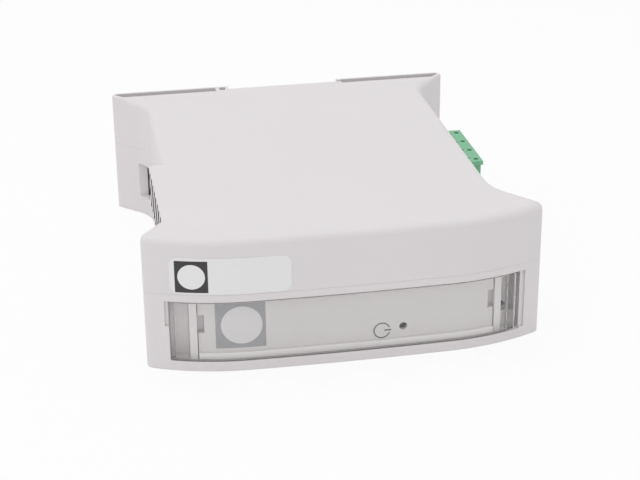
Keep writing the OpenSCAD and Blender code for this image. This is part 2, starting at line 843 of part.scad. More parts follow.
// Row of pins between the two boards
module board_link() {
    pins = 8;
    pitch = 2.54;
    bar = 2.4;
    translate([0, link_y, low_top]) {
        color([0.12, 0.12, 0.13])
            translate([-pins * pitch / 2, -bar / 2, 0]) cube([pins * pitch, bar, bar]);
        color([0.8, 0.68, 0.35]) for (i = [0 : pins - 1])
            translate([(i - (pins - 1) / 2) * pitch - 0.3, -0.3, bar - fine])
                cube([0.6, 0.6, top_board_z - low_top - bar + fine]);
    }
}

module controller_chip() {
    legs = 8;
    pitch = 1.27;
    translate([-8, low_board_y - 1, low_top]) {
        color([0.1, 0.1, 0.11]) translate([-5.2, -2, 0.2]) cube([10.4, 4, 1.6]);
        color(metal) for (i = [0 : legs - 1], s = [-1, 1])
            translate([(i - (legs - 1) / 2) * pitch - 0.2, s > 0 ? 2 - fine : -3, 0]) cube([0.4, 1 + fine, 0.6]);
    }
}

// Terminal header, plug and clamps

module terminal_header() {
    color(plug_green) difference() {
        translate([header_in, plug_y - header_l / 2, board_top])
            cube([header_out - header_in, header_l, header_h]);
        translate([header_in + header_back, plug_y - header_l / 2 + header_wall, board_top + header_wall])
            cube([reach, header_l - 2 * header_wall, header_h - 2 * header_wall]);
        for (i = [1 : poles]) translate([header_in - 1, pole(i), pin_wire_z]) rotate([0, 90, 0])
            cylinder(r = pin_wire + run_gap, h = header_back + 2);
    }
}

module header_pins() {
    in_plug = header_out - 2 - pin_wire_x;
    color(metal) for (i = [1 : poles]) translate([pin_wire_x, pole(i), pin_wire_z]) {
        rotate([0, 90, 0]) cylinder(r = pin_wire, h = in_plug);
        sphere(r = pin_wire);
        translate([0, 0, top_board_z - 1 - pin_wire_z])
            cylinder(r = pin_wire, h = pin_wire_z - top_board_z + 1);
    }
}

module terminal_plug() {
    nose_x = header_out - nose_in;
    nose_l = header_l - 2 * header_wall - 2 * slot_gap;
    nose_z = board_top + header_wall + slot_gap;
    nose_h = header_h - 2 * header_wall - 2 * slot_gap;
    set_in = lip_out;
    color(plug_green) difference() {
        union() {
            translate([plug_x, plug_y - plug_l / 2 + set_in, plug_z])
                cube([plug_out - plug_x, plug_l - 2 * set_in, plug_h]);
            translate([plug_x, plug_y - plug_l / 2, plug_top - lip_t])
                cube([plug_out + lip_out - plug_x, plug_l, lip_t]);
            translate([nose_x, plug_y - nose_l / 2, nose_z]) cube([plug_x - nose_x + 1, nose_l, nose_h]);
        }
        for (i = [1 : poles]) {
            clamp_room(i, nose_x);
            translate([plug_out - 1, pole(i, test_pitch), plug_top - 2.5]) cylinder(r = test_r, h = 3);
        }
        for (i = [1 : poles - 1]) translate([plug_out - 0.3, pole(i + 0.5) - 0.3, plug_z - 1])
            cube([1, 0.6, plug_h - lip_t + 1]);
    }
}

// Room for one clamp: cage, contact, screw and wire
module clamp_room(i, nose_x) {
    room = [cage[0] + 2 * cage_gap, cage[1] + 2 * cage_gap];
    slot_w = contact_w + 2 * slot_gap;
    translate([clamp_x, pole(i), 0]) {
        translate([-room[0] / 2, -room[1] / 2, cage_room_z]) cube([room[0], room[1], room_top - cage_room_z]);
        translate([0, 0, room_top - fine]) cylinder(r = screw_r + run_gap, h = 1);
        translate([0, 0, screw_seat_z]) cylinder(r = head_r + play, h = screw_head_t + 2 * play);
        translate([0, 0, screw_seat_z]) cylinder(r = head_r - 0.2, h = reach);
        translate([0, 0, wire_z]) rotate([0, 90, 0]) cylinder(r = wire_r, h = reach);
    }
    translate([nose_x - 1, pole(i) - slot_w / 2, pin_wire_z - pin_wire - contact_t - 3 * run_gap])
        cube([header_out - 0.6 - nose_x + 1, slot_w, 2 * pin_wire + 2 * contact_t + 6 * run_gap]);
    translate([nose_x, pole(i) - contact_w / 2 - run_gap, contact_z - run_gap])
        cube([clamp_x - nose_x, contact_w + 2 * run_gap, contact_t + 2 * run_gap]);
}

// Contacts of the plug: a fork round each header pin and a strip through each cage
module plug_contacts() {
    x0 = header_out - nose_in + 1.2;
    fork_end = header_out - 0.8;
    low = pin_wire_z - pin_wire - run_gap - contact_t;
    color([0.8, 0.68, 0.35]) for (i = [1 : poles]) translate([0, pole(i) - contact_w / 2, 0]) {
        translate([x0, 0, contact_z]) cube([clamp_x + cage[0] / 2 - x0, contact_w, contact_t]);
        translate([x0, 0, low]) cube([fork_end - x0, contact_w, contact_t]);
        translate([fork_end - 0.8, 0, low]) cube([0.8, contact_w, contact_z - low + fine]);
    }
}

module clamp_screw(i) {
    color(metal) translate([clamp_x, pole(i), 0]) difference() {
        union() {
            translate([0, 0, screw_tip_z]) cylinder(r = screw_r, h = screw_seat_z - screw_tip_z + fine);
            translate([0, 0, screw_seat_z]) cylinder(r = head_r, h = screw_head_t);
        }
        translate([-head_r, -0.25, screw_seat_z + screw_head_t - 0.7]) cube([2 * head_r, 0.5, 1]);
    }
}

module clamp_cage(i) {
    color(metal) translate([clamp_x, pole(i), cage_z]) difference() {
        translate([-cage[0] / 2, -cage[1] / 2, 0]) cube(cage);
        translate([-cage[0], -cage[1] / 2 + cage_side, cage_skin])
            cube([2 * cage[0], cage[1] - 2 * cage_side, cage[2] - 2 * cage_skin]);
        cylinder(r = screw_r + run_gap, h = 2 * cage[2]);
    }
}

module clamp_screw_1() clamp_screw(1);
module clamp_screw_2() clamp_screw(2);
module clamp_screw_3() clamp_screw(3);
module clamp_screw_4() clamp_screw(4);
module clamp_cage_1() clamp_cage(1);
module clamp_cage_2() clamp_cage(2);
module clamp_cage_3() clamp_cage(3);
module clamp_cage_4() clamp_cage(4);

// Components on the upper board

module block_on_board(p, size, lift = 0) {
    translate([p[0] - size[0] / 2, p[1] - size[1] / 2, board_top + lift]) cube(size);
}

// Disc that stands on two leads
module disc_on_board(p, r, t) {
    gap = 1.6;
    spread = 2.5;
    translate([p[0], p[1], board_top]) {
        translate([0, t / 2, gap + r]) rotate([90, 0, 0]) cylinder(r = r, h = t);
        for (s = [-1, 1]) translate([s * spread, 0, 0]) cylinder(r = 0.4, h = gap + 1.5);
    }
}

relay_size = [29, 12.7, 15.7];
film_size = [18, 8.5, 14.5];
resistor_size = [22, 9.5, 9];
rectifier_size = [15, 3.5, 10];
rectifier_p = [17, top_board_y + 8];

module bypass_relay() {
    color([0.12, 0.3, 0.55]) block_on_board([4, top_rear - 9], relay_size);
}

module film_capacitor() {
    color([0.75, 0.2, 0.15]) block_on_board([-23.5, top_rear - 10.5], film_size);
}

module inrush_thermistor() {
    disc_r = 7.5;
    disc_t = 4.5;
    color([0.15, 0.15, 0.14]) disc_on_board([-1, top_board_y + 9], disc_r, disc_t);
}

module surge_varistor() {
    disc_r = 7;
    disc_t = 5;
    color([0.15, 0.35, 0.6]) disc_on_board([6, top_front + 26], disc_r, disc_t);
}

module storage_capacitor() {
    can_r = 5;
    can_h = 16;
    color([0.12, 0.14, 0.2]) translate([-22, top_board_y + 8, board_top]) difference() {
        cylinder(r = can_r, h = can_h);
        translate([0, 0, can_h - 0.3]) cylinder(r = can_r - 0.8, h = 1);
        for (a = [0, 90]) rotate(a) translate([-can_r / 2, -0.2, can_h - 0.6]) cube([can_r, 0.4, 1]);
    }
}

module bridge_rectifier() {
    legs = 4;
    leg_pitch = 3.8;
    leg_h = 3;
    color([0.12, 0.12, 0.13]) block_on_board(rectifier_p, rectifier_size, leg_h);
    color(metal) for (i = [0 : legs - 1])
        block_on_board(rectifier_p + [(i - (legs - 1) / 2) * leg_pitch, 0], [0.8, 0.6, leg_h + fine]);
}

module ceramic_resistor() {
    color([0.9, 0.89, 0.86]) block_on_board([-20, top_front + 26], resistor_size);
}

fuse_p = [12, top_front + 11];
fuse_r = 2.6;
fuse_l = 20;
fuse_z = board_top + 4.4;

module glass_fuse() {
    cap = 5;
    translate([fuse_p[0] - fuse_l / 2, fuse_p[1], fuse_z]) rotate([0, 90, 0]) {
        color(metal) for (x = [0, fuse_l - cap]) translate([0, 0, x]) cylinder(r = fuse_r, h = cap);
        color([0.85, 0.9, 0.9, 0.5]) cylinder(r = fuse_r - 0.2, h = fuse_l);
    }
}

module fuse_clips() {
    clip = 3;
    skin = 0.5;
    color(metal) for (s = [-1, 1])
        translate([fuse_p[0] + s * (fuse_l / 2 - 2.5) - clip / 2, fuse_p[1], board_top]) difference() {
            translate([0, -fuse_r - skin, 0]) cube([clip, 2 * fuse_r + 2 * skin, 6]);
            translate([-1, 0, fuse_z - board_top]) rotate([0, 90, 0])
                cylinder(r = fuse_r + run_gap, h = clip + 2);
            translate([-1, -fuse_r - run_gap, fuse_z - board_top]) cube([clip + 2, 2 * fuse_r + 2 * run_gap, 6]);
        }
}

base_housing();
side_hood();
window_cover();
front_panel();
number_plate();
light_pipe();
status_lamp();
rail_latch();
latch_spring();
power_board();
control_board();
board_link();
terminal_header();
header_pins();
terminal_plug();
plug_contacts();
clamp_screw_1();
clamp_screw_2();
clamp_screw_3();
clamp_screw_4();
clamp_cage_1();
clamp_cage_2();
clamp_cage_3();
clamp_cage_4();
bypass_relay();
inrush_thermistor();
film_capacitor();
surge_varistor();
glass_fuse();
fuse_clips();
storage_capacitor();
bridge_rectifier();
ceramic_resistor();
controller_chip();
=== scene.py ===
import json
import math

import bmesh
import bpy
from mathutils import Color, Matrix, Vector
from mathutils.bvhtree import BVHTree


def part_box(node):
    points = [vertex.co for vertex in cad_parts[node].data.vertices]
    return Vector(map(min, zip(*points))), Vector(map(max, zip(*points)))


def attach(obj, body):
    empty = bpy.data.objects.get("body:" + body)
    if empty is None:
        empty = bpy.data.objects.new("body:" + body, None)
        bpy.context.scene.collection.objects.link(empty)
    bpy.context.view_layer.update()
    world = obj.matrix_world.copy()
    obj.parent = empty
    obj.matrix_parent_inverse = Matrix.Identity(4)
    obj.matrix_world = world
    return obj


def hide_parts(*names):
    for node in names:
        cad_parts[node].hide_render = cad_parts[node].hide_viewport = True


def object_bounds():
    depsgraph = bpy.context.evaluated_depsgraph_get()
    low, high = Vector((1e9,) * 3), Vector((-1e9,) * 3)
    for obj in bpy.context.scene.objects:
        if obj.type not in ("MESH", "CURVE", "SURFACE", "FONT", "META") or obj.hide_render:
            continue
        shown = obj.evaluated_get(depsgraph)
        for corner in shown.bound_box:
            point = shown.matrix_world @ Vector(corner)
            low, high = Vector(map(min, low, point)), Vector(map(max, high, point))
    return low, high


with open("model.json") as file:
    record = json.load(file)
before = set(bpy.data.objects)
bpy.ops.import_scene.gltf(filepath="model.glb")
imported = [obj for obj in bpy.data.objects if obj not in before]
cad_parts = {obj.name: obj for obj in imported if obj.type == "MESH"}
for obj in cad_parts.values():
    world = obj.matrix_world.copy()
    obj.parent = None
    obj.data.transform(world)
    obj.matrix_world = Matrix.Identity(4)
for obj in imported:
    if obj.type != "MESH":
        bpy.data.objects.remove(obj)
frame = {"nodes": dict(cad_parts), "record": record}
cadLow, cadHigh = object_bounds()
mm = 0.001  # sizes and places below are in mm, and Blender's are in metres
print("frame loaded:", len(frame["nodes"]), "nodes")


# Colours are noted as they look on a screen, from 0 to 255
def tone(red, green, blue):
    return *Color((red / 255, green / 255, blue / 255)).from_srgb_to_scene_linear(), 1


# Each input of a node, by name or number, gets its value or the output that feeds it
def feed(node, inputs):
    for socket, value in inputs.items():
        if isinstance(value, bpy.types.NodeSocket):
            node.id_data.links.new(value, node.inputs[socket])
        else:
            node.inputs[socket].default_value = value


# The settings come first, because some of them choose the inputs
def addNode(tree, kind, inputs=None, **settings):
    node = tree.nodes.new(kind)
    for setting, value in settings.items():
        setattr(node, setting, value)
    feed(node, inputs or {})
    return node


# An empty group with named sockets, what it is given, and the node that takes its results
def startGroup(name, kind, inputs, outputs):
    group = bpy.data.node_groups.new(name, kind)
    for way, sockets in (("INPUT", inputs), ("OUTPUT", outputs)):
        for socket, socketKind in sockets.items():
            group.interface.new_socket(name=socket, in_out=way, socket_type="NodeSocket" + socketKind)
    return group, addNode(group, "NodeGroupInput").outputs, addNode(group, "NodeGroupOutput")


surfaceOutputs = {"Colour": "Color", "Roughness": "Float", "Normal": "Vector"}  # of each finish's group

# Moulded plastic: fine spark-eroded grain, faint mottling, and a painted highlight, a lighter colour mixed
# in on rounded edges
mouldedSet = {
    "grainDetail": 2.0,
    "grainHeight": 0.05,
    "cloudScale": 45.0,
    "cloudDetail": 4.0,
    "cloudNoise": (0.3, 0.7),  # where the mottling is darkest and lightest
    "edgeSamples": 6,
    "edgeCosine": 0.85,  # of the angle between face and rounded edge where the edge colour is full
    "glossShift": 0.04,
}


def makeMouldedGroup():
    group, given, result = startGroup("mouldedSurface", "ShaderNodeTree", {
        "Colour": "Color", "Edge Highlight": "Color", "Edge Radius": "Float", "Roughness": "Float",
        "Grain Scale": "Float", "Grain Depth": "Float", "Mottling": "Float",
    }, surfaceOutputs)
    place = addNode(group, "ShaderNodeTexCoord").outputs["Object"]
    grain = addNode(group, "ShaderNodeTexNoise", {
        "Vector": place, "Scale": given["Grain Scale"], "Detail": mouldedSet["grainDetail"],
    })
    clouds = addNode(group, "ShaderNodeTexNoise", {
        "Vector": place, "Scale": mouldedSet["cloudScale"], "Detail": mouldedSet["cloudDetail"],
    })

    rounded = addNode(group, "ShaderNodeBevel", {"Radius": given["Edge Radius"]},
                      samples=mouldedSet["edgeSamples"])
    face = addNode(group, "ShaderNodeNewGeometry")
    turn = addNode(group, "ShaderNodeVectorMath", {
        0: rounded.outputs["Normal"], 1: face.outputs["Normal"],
    }, operation="DOT_PRODUCT")
    edge = addNode(group, "ShaderNodeMapRange", {  # 0 on a flat face, 1 on a sharp edge
        "Value": turn.outputs["Value"], "From Min": 1.0, "From Max": mouldedSet["edgeCosine"],
    })

    darkest, lightest = mouldedSet["cloudNoise"]
    shade = addNode(group, "ShaderNodeMapRange", {  # mottling, from -1 to 1 times its share
        "Value": clouds.outputs["Fac"], "From Min": darkest, "From Max": lightest,
        "To Min": -1.0, "To Max": 1.0,
    })
    share = addNode(group, "ShaderNodeMath", {
        0: shade.outputs["Result"], 1: given["Mottling"], 2: 1.0,
    }, operation="MULTIPLY_ADD")
    tinted = addNode(group, "ShaderNodeVectorMath", {
        0: given["Colour"], "Scale": share.outputs["Value"],
    }, operation="SCALE")
    # Painted highlight: the lighter edge colour is mixed in where the rounded normal turns away from the
    # face
    blend = addNode(group, "ShaderNodeMix", {
        "Factor": edge.outputs["Result"], "A": tinted.outputs["Vector"], "B": given["Edge Highlight"],
    }, data_type="RGBA")
    gloss = addNode(group, "ShaderNodeMath", {  # the clouds also make it a little duller or shinier
        0: shade.outputs["Result"], 1: mouldedSet["glossShift"], 2: given["Roughness"],
    }, operation="MULTIPLY_ADD")

    bump = addNode(group, "ShaderNodeBump", {
        "Strength": given["Grain Depth"], "Distance": mouldedSet["grainHeight"] * mm,
        "Height": grain.outputs["Fac"], "Normal": rounded.outputs["Normal"],
    })
    feed(result, {
        "Colour": blend.outputs["Result"], "Roughness": gloss.outputs["Value"],
        "Normal": bump.outputs["Normal"],
    })
    return group


# Drawn or stamped metal: fine lines along one axis
drawnSet = {
    "detail": 3.0,
    "lineHeight": 0.03,
    "shades": (0.85, 1.05),  # shares of the colour in the dullest and the brightest line
    "glossShift": 0.15,
}


def makeMetalGroup():
    group, given, result = startGroup("drawnMetal", "ShaderNodeTree", {
        "Colour": "Color", "Roughness": "Float", "Lines": "Vector", "Depth": "Float",
    }, surfaceOutputs)
    place = addNode(group, "ShaderNodeTexCoord").outputs["Object"]
    stretch = addNode(group, "ShaderNodeVectorMath", {0: place, 1: given["Lines"]}, operation="MULTIPLY")
    lines = addNode(group, "ShaderNodeTexNoise", {
        "Vector": stretch.outputs["Vector"], "Scale": 1.0, "Detail": drawnSet["detail"],
    }).outputs["Fac"]
    gloss = addNode(group, "ShaderNodeMath", {
        0: lines, 1: drawnSet["glossShift"], 2: given["Roughness"],
    }, operation="MULTIPLY_ADD")
    dullest, brightest = drawnSet["shades"]
    dull = addNode(group, "ShaderNodeMapRange", {"Value": lines, "To Min": dullest, "To Max": brightest})
    tinted = addNode(group, "ShaderNodeVectorMath", {
        0: given["Colour"], "Scale": dull.outputs["Result"],
    }, operation="SCALE")
    bump = addNode(group, "ShaderNodeBump", {
        "Strength": given["Depth"], "Distance": drawnSet["lineHeight"] * mm, "Height": lines,
    })
    feed(result, {
        "Colour": tinted.outputs["Vector"], "Roughness": gloss.outputs["Value"],
        "Normal": bump.outputs["Normal"],
    })
    return group


mouldedGroup = makeMouldedGroup()
metalGroup = makeMetalGroup()


def startMaterial(name, inputs):
    material = bpy.data.materials.new(name)
    material.use_nodes = True
    shader = material.node_tree.nodes["Principled BSDF"]
    feed(shader, inputs)
    return material, shader


# A material whose colour, roughness and normal come from a group with its own values
def makeSurface(name, group, values, metallic=0.0):
    material, shader = startMaterial(name, {"Metallic": metallic})
    surface = addNode(material.node_tree, "ShaderNodeGroup", values, node_tree=group).outputs
    feed(shader, {
        "Base Color": surface["Colour"], "Roughness": surface["Roughness"], "Normal": surface["Normal"],
    })
    return material


# Plastics: colour, edge highlight colour (a painted highlight on rounded edges), edge radius in mm,
# roughness, grain scale, grain depth, mottling
plastics = {
    "shellPlastic": (tone(226, 222, 223), tone(232, 229, 230), 0.25, 0.52, 3500, 0.10, 0.012),
    "panelPlastic": (tone(217, 213, 213), tone(226, 223, 223), 0.12, 0.45, 4000, 0.08, 0.010),
    "latchPlastic": (tone(206, 203, 204), tone(222, 220, 220), 0.25, 0.50, 3500, 0.12, 0.015),
    # painted shade: near black on the vent's slot walls, standing in for their deep shade
    "slotPaintedShade": (tone(30, 29, 30), tone(40, 39, 40), 0.05, 0.60, 3500, 0.10, 0.030),
    # painted light: paler than the shell, lifting the shade on the walls behind the cover
    "recessPaintedLight": (tone(243, 240, 240), tone(246, 243, 243), 0.10, 0.50, 3500, 0.08, 0.010),
    # painted light: opaque pale top edge of the clear cover, lifting the shadow under the hood's lip
    "coverTopPaintedLight": (tone(246, 244, 244), tone(248, 246, 246), 0.03, 0.45, 4000, 0.05, 0.010),
    # painted shade: opaque grey foot and end of the clear cover, standing in for dark edge lines
    "coverFootPaintedShade": (tone(156, 153, 151), tone(160, 157, 155), 0.03, 0.45, 4000, 0.05, 0.010),
    "plugPlastic": (tone(118, 186, 146), tone(150, 212, 172), 0.20, 0.42, 3800, 0.12, 0.020),
    "headerPlastic": (tone(112, 178, 138), tone(140, 200, 162), 0.15, 0.45, 3800, 0.12, 0.020),
    "labelPaper": (tone(236, 235, 236), tone(242, 241, 242), 0.03, 0.38, 6000, 0.05, 0.006),
    "inkDark": (tone(58, 54, 55), tone(66, 62, 62), 0.02, 0.45, 6000, 0.05, 0.030),
    "inkGrey": (tone(158, 158, 161), tone(164, 164, 166), 0.02, 0.45, 6000, 0.05, 0.012),
    "inkPale": (tone(219, 217, 218), tone(224, 222, 223), 0.02, 0.45, 6000, 0.05, 0.006),
    "inkLine": (tone(112, 110, 112), tone(118, 116, 118), 0.02, 0.45, 6000, 0.05, 0.030),
    "linkBlack": (tone(32, 32, 34), tone(58, 58, 60), 0.10, 0.50, 3000, 0.15, 0.040),
    "relayBlue": (tone(30, 76, 140), tone(66, 110, 168), 0.30, 0.42, 3000, 0.12, 0.030),
    "varistorBlue": (tone(36, 84, 150), tone(60, 108, 168), 0.20, 0.35, 900, 0.25, 0.060),
    "thermistorBlack": (tone(44, 44, 41), tone(60, 60, 56), 0.20, 0.75, 1500, 0.35, 0.060),
    "capacitorRed": (tone(176, 44, 34), tone(200, 82, 66), 0.30, 0.30, 2500, 0.10, 0.030),
    "sleeveBlack": (tone(30, 34, 48), tone(50, 54, 68), 0.15, 0.28, 2500, 0.08, 0.030),
    "rectifierBlack": (tone(38, 38, 40), tone(64, 64, 66), 0.15, 0.60, 3000, 0.18, 0.040),
    "ceramicWhite": (tone(224, 221, 212), tone(234, 232, 224), 0.30, 0.80, 1200, 0.35, 0.030),
    "lampGreen": (tone(60, 170, 80), tone(110, 200, 120), 0.10, 0.20, 4000, 0.03, 0.020),
}
# Metals: colour, roughness, line scales along X, Y and Z, depth
metals = {
    "springSteel": (tone(186, 186, 190), 0.25, (900, 900, 900), 0.05),
    "tinnedMetal": (tone(206, 205, 200), 0.35, (500, 4000, 4000), 0.08),
    "clampSteel": (tone(192, 190, 184), 0.32, (4000, 4000, 600), 0.10),
    "contactBrass": (tone(216, 184, 112), 0.30, (500, 5000, 5000), 0.08),
}
# Clear plastics and glass: colour, roughness
clears = {
    "coverClear": (tone(254, 254, 254), 0.02),
    "coverHinge": (tone(222, 221, 220), 0.35),
    "lightGuide": (tone(242, 244, 240), 0.10),
    "fuseGlass": (tone(238, 244, 242), 0.02),
}
clearIor = 1.49


# Smooth and clear, and both lamps and the light of the surroundings shine through it
def makeClear(name, colour, roughness):
    material, shader = startMaterial(name, {
        "Base Color": colour, "Roughness": roughness, "IOR": clearIor, "Transmission Weight": 1.0,
    })
    tree = material.node_tree
    through = addNode(tree, "ShaderNodeBsdfTransparent", {"Color": colour}).outputs["BSDF"]
    rays = addNode(tree, "ShaderNodeLightPath").outputs
    shown = shader.outputs["BSDF"]
    for ray in ("Is Shadow Ray", "Is Diffuse Ray"):
        shown = addNode(tree, "ShaderNodeMixShader", {0: rays[ray], 1: shown, 2: through}).outputs["Shader"]
    feed(tree.nodes["Material Output"], {"Surface": shown})
    return material


# Circuit board: green lacquer over copper tracks that stand a little proud
boardSet = {
    "lacquer": tone(30, 96, 56),
    "track": tone(58, 132, 84),
    "roughness": 0.3,
    "scale": 240.0,  # units of the pattern in a metre, which the next three are in
    "trackWidth": 0.06,
    "fieldLength": 2.6,
    "fieldHeight": 0.6,
    "shift": 0.35,  # of a field's length, from row to row
    "raise": 0.3,
    "raiseHeight": 0.03,
}


def makeBoardMaterial():
    material, shader = startMaterial("circuitBoard", {"Roughness": boardSet["roughness"]})
    tree = material.node_tree
    place = addNode(tree, "ShaderNodeTexCoord").outputs["Object"]
    tracks = addNode(tree, "ShaderNodeTexBrick", {
        "Vector": place, "Scale": boardSet["scale"], "Color1": boardSet["lacquer"],
        "Color2": boardSet["lacquer"], "Mortar": boardSet["track"], "Mortar Size": boardSet["trackWidth"],
        "Brick Width": boardSet["fieldLength"], "Row Height": boardSet["fieldHeight"],
    }, offset=boardSet["shift"])
    raised = addNode(tree, "ShaderNodeBump", {
        "Strength": boardSet["raise"], "Distance": boardSet["raiseHeight"] * mm,
        "Height": tracks.outputs["Fac"],
    })
    feed(shader, {"Base Color": tracks.outputs["Color"], "Normal": raised.outputs["Normal"]})
    return material


materials = {}
for name, (colour, edgeHighlight, radius, roughness, scale, depth, mottling) in plastics.items():
    materials[name] = makeSurface(name, mouldedGroup, {
        "Colour": colour, "Edge Highlight": edgeHighlight, "Edge Radius": radius * mm,
        "Roughness": roughness, "Grain Scale": scale, "Grain Depth": depth, "Mottling": mottling,
    })
for name, (colour, roughness, lines, depth) in metals.items():
    materials[name] = makeSurface(name, metalGroup, {
        "Colour": colour, "Roughness": roughness, "Lines": lines, "Depth": depth,
    }, metallic=1.0)
for name, (colour, roughness) in clears.items():
    materials[name] = makeClear(name, colour, roughness)
materials["circuitBoard"] = makeBoardMaterial()
print("materials made:", len(materials))


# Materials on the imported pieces
finishes = {
    "base_housing": "shellPlastic", "side_hood": "shellPlastic", "window_cover": "coverClear",
    "front_panel": "panelPlastic", "number_plate": "labelPaper", "light_pipe": "lightGuide",
    "status_lamp": "lampGreen", "rail_latch": "latchPlastic", "latch_spring": "springSteel",
    "power_board": "circuitBoard", "control_board": "circuitBoard", "board_link": "linkBlack",
    "terminal_header": "headerPlastic", "header_pins": "tinnedMetal",
    "terminal_plug": "plugPlastic", "plug_contacts": "contactBrass",
    "bypass_relay": "relayBlue", "inrush_thermistor": "thermistorBlack",
    "film_capacitor": "capacitorRed", "surge_varistor": "varistorBlue",
    "glass_fuse": "fuseGlass", "fuse_clips": "tinnedMetal",
    "storage_capacitor": "sleeveBlack", "bridge_rectifier": "rectifierBlack",
    "ceramic_resistor": "ceramicWhite", "controller_chip": "rectifierBlack",
}
for node in frame["nodes"]:
    if node.startswith("clamp_"):
        finishes[node] = "clampSteel"
for node, finish in finishes.items():
    slots = frame["nodes"][node].data.materials
    slots.clear()
    slots.append(materials[finish])


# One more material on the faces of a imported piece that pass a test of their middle, in mm, and normal
def paintFaces(node, finish, passes):
    mesh = frame["nodes"][node].data
    mesh.materials.append(materials[finish])
    for polygon in mesh.polygons:
        if passes(polygon.center / mm, polygon.normal):
            polygon.material_index = len(mesh.materials) - 1


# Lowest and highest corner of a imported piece, in mm
def cornersOf(node):
    return [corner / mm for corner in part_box(node)]


def isWithin(place, low, high):
    return all(least <= at <= most for least, at, most in zip(low, place, high))


# Bare metal of the small parts, by its reach from the sides of each part's box
bareSet = {
    "linkBar": 2.3,  # the pins stand above this
    "fuseCap": 5.1,
    "chipLeg": 0.95,
    "bridgeLeg": 2.9,
}


def paintSmallParts():
    linkLow = cornersOf("board_link")[0]
    fuseLow, fuseHigh = cornersOf("glass_fuse")
    chipLow, chipHigh = cornersOf("controller_chip")
    bridgeLow = cornersOf("bridge_rectifier")[0]
    paintFaces("board_link", "contactBrass",
               lambda place, normal: place.z > linkLow.z + bareSet["linkBar"])
    paintFaces("glass_fuse", "tinnedMetal",
               lambda place, normal: min(place.x - fuseLow.x, fuseHigh.x - place.x) < bareSet["fuseCap"])
    paintFaces("controller_chip", "tinnedMetal",
               lambda place, normal: min(place.y - chipLow.y, chipHigh.y - place.y) < bareSet["chipLeg"])
    paintFaces("bridge_rectifier", "tinnedMetal",
               lambda place, normal: place.z < bridgeLow.z + bareSet["bridgeLeg"])


paintSmallParts()

# The walls inside the vent's slots are painted near black, a painted shade that stands in for the deep
# shade inside them
ventSet = {
    "low": (-43.65, -44.45, 24.3),
    "high": (-42.15, -5.1, 34.4),
    "outward": 0.5,  # a face that looks further outward than this is part of the shell
}


def isVentSlot(place, normal):
    return isWithin(place, ventSet["low"], ventSet["high"]) and abs(normal.x) < ventSet["outward"]


# Slot walls get the near-black painted shade
paintFaces("side_hood", "slotPaintedShade", isVentSlot)

# The clear cover's top edge faces are painted pale, a painted light that lifts the shadow under the hood's
# lip, and its foot and end faces are painted grey, a painted shade for dark edge lines, in bands along its
# box; the hinge barrel is frosted
coverSet = {
    "topBand": 2,
    "footBand": 2,
    "endBand": 1,
    "squarely": 0.9,  # how far an edge's face looks along the axis
    "barrel": 1.5,
}


def paintCover():
    low, high = cornersOf("window_cover")
    squarely = coverSet["squarely"]
    joints = frame["record"]["behaviour"]["joints"]
    hinge = next(Vector(joint["pos_m"]) / mm for joint in joints if joint["name"] == "window_open")

    def isFoot(place, normal):
        below = normal.z < -squarely and place.z < low.z + coverSet["footBand"]
        return below or (normal.x > squarely and place.x > high.x - coverSet["endBand"])

    # Top edge faces get the pale painted light
    paintFaces("window_cover", "coverTopPaintedLight",
               lambda place, normal: normal.z > squarely and place.z > high.z - coverSet["topBand"])
    # Foot and end faces get the grey painted shade
    paintFaces("window_cover", "coverFootPaintedShade", isFoot)
    paintFaces("window_cover", "coverHinge",
               lambda place, normal: (place - hinge).to_2d().length < coverSet["barrel"])


paintCover()

# Walls behind the cover are painted paler than the shell, a painted light that lifts the shade in the
# recess; each wall lies between its lowest and highest corners
recessSet = {
    "backWall": ((-43, -49, 2.7), (-34, -45.5, 17.5)),
    "sill": ((-43, -54.6, 2.7), (43, -46, 4.4)),
    "forward": 0.8,  # how far a pale face looks to the front
}


def isPaintedLightRecess(place, normal):
    within = [isWithin(place, *recessSet[wall]) for wall in ("backWall", "sill")]
    return normal.y < -recessSet["forward"] and any(within)


# Front faces of the walls behind the cover get the paler painted light
paintFaces("base_housing", "recessPaintedLight", isPaintedLightRecess)

# Faceted pieces are shaded smooth, except across sharp edges
smoothSet = {
    "pieces": ("side_hood", "latch_spring"),
    "sharpFrom": 24,  # degrees
    "joinWithin": 0.001,
}


def makeSmoothGroup():
    sockets = {"Geometry": "Geometry"}
    group, given, result = startGroup("smoothFaces", "GeometryNodeTree", sockets, sockets)
    plain = addNode(group, "GeometryNodeRemoveAttribute", {
        "Geometry": given["Geometry"], "Name": "custom_normal",
    })
    joined = addNode(group, "GeometryNodeMergeByDistance", {
        "Geometry": plain.outputs["Geometry"], "Distance": smoothSet["joinWithin"] * mm,
    })
    smooth = addNode(group, "GeometryNodeSetShadeSmooth", {
        "Geometry": joined.outputs["Geometry"],
    }, domain="FACE")
    angle = addNode(group, "GeometryNodeInputMeshEdgeAngle")
    sharp = addNode(group, "FunctionNodeCompare", {
        "A": angle.outputs["Unsigned Angle"], "B": math.radians(smoothSet["sharpFrom"]),
    }, operation="GREATER_THAN")
    creased = addNode(group, "GeometryNodeSetShadeSmooth", {
        "Geometry": smooth.outputs["Geometry"], "Selection": sharp.outputs["Result"],
        "Shade Smooth": False,
    }, domain="EDGE")
    feed(result, {"Geometry": creased.outputs["Geometry"]})
    return group


smoothGroup = makeSmoothGroup()
for node in smoothSet["pieces"]:
    modifiers = frame["nodes"][node].modifiers
    modifiers.new("smoothFaces", "NODES").node_group = smoothGroup
    modifiers.new("flatFacesFirst", "WEIGHTED_NORMAL").keep_sharp = True
print("packed pieces finished")


def addObject(name, data):
    placed = bpy.data.objects.new(name, data)
    bpy.context.scene.collection.objects.link(placed)
    return placed


def addMesh(mesh, name, material):
    data = bpy.data.meshes.new(name)
    mesh.to_mesh(data)
    mesh.free()
    data.materials.append(material)
    return addObject(name, data)


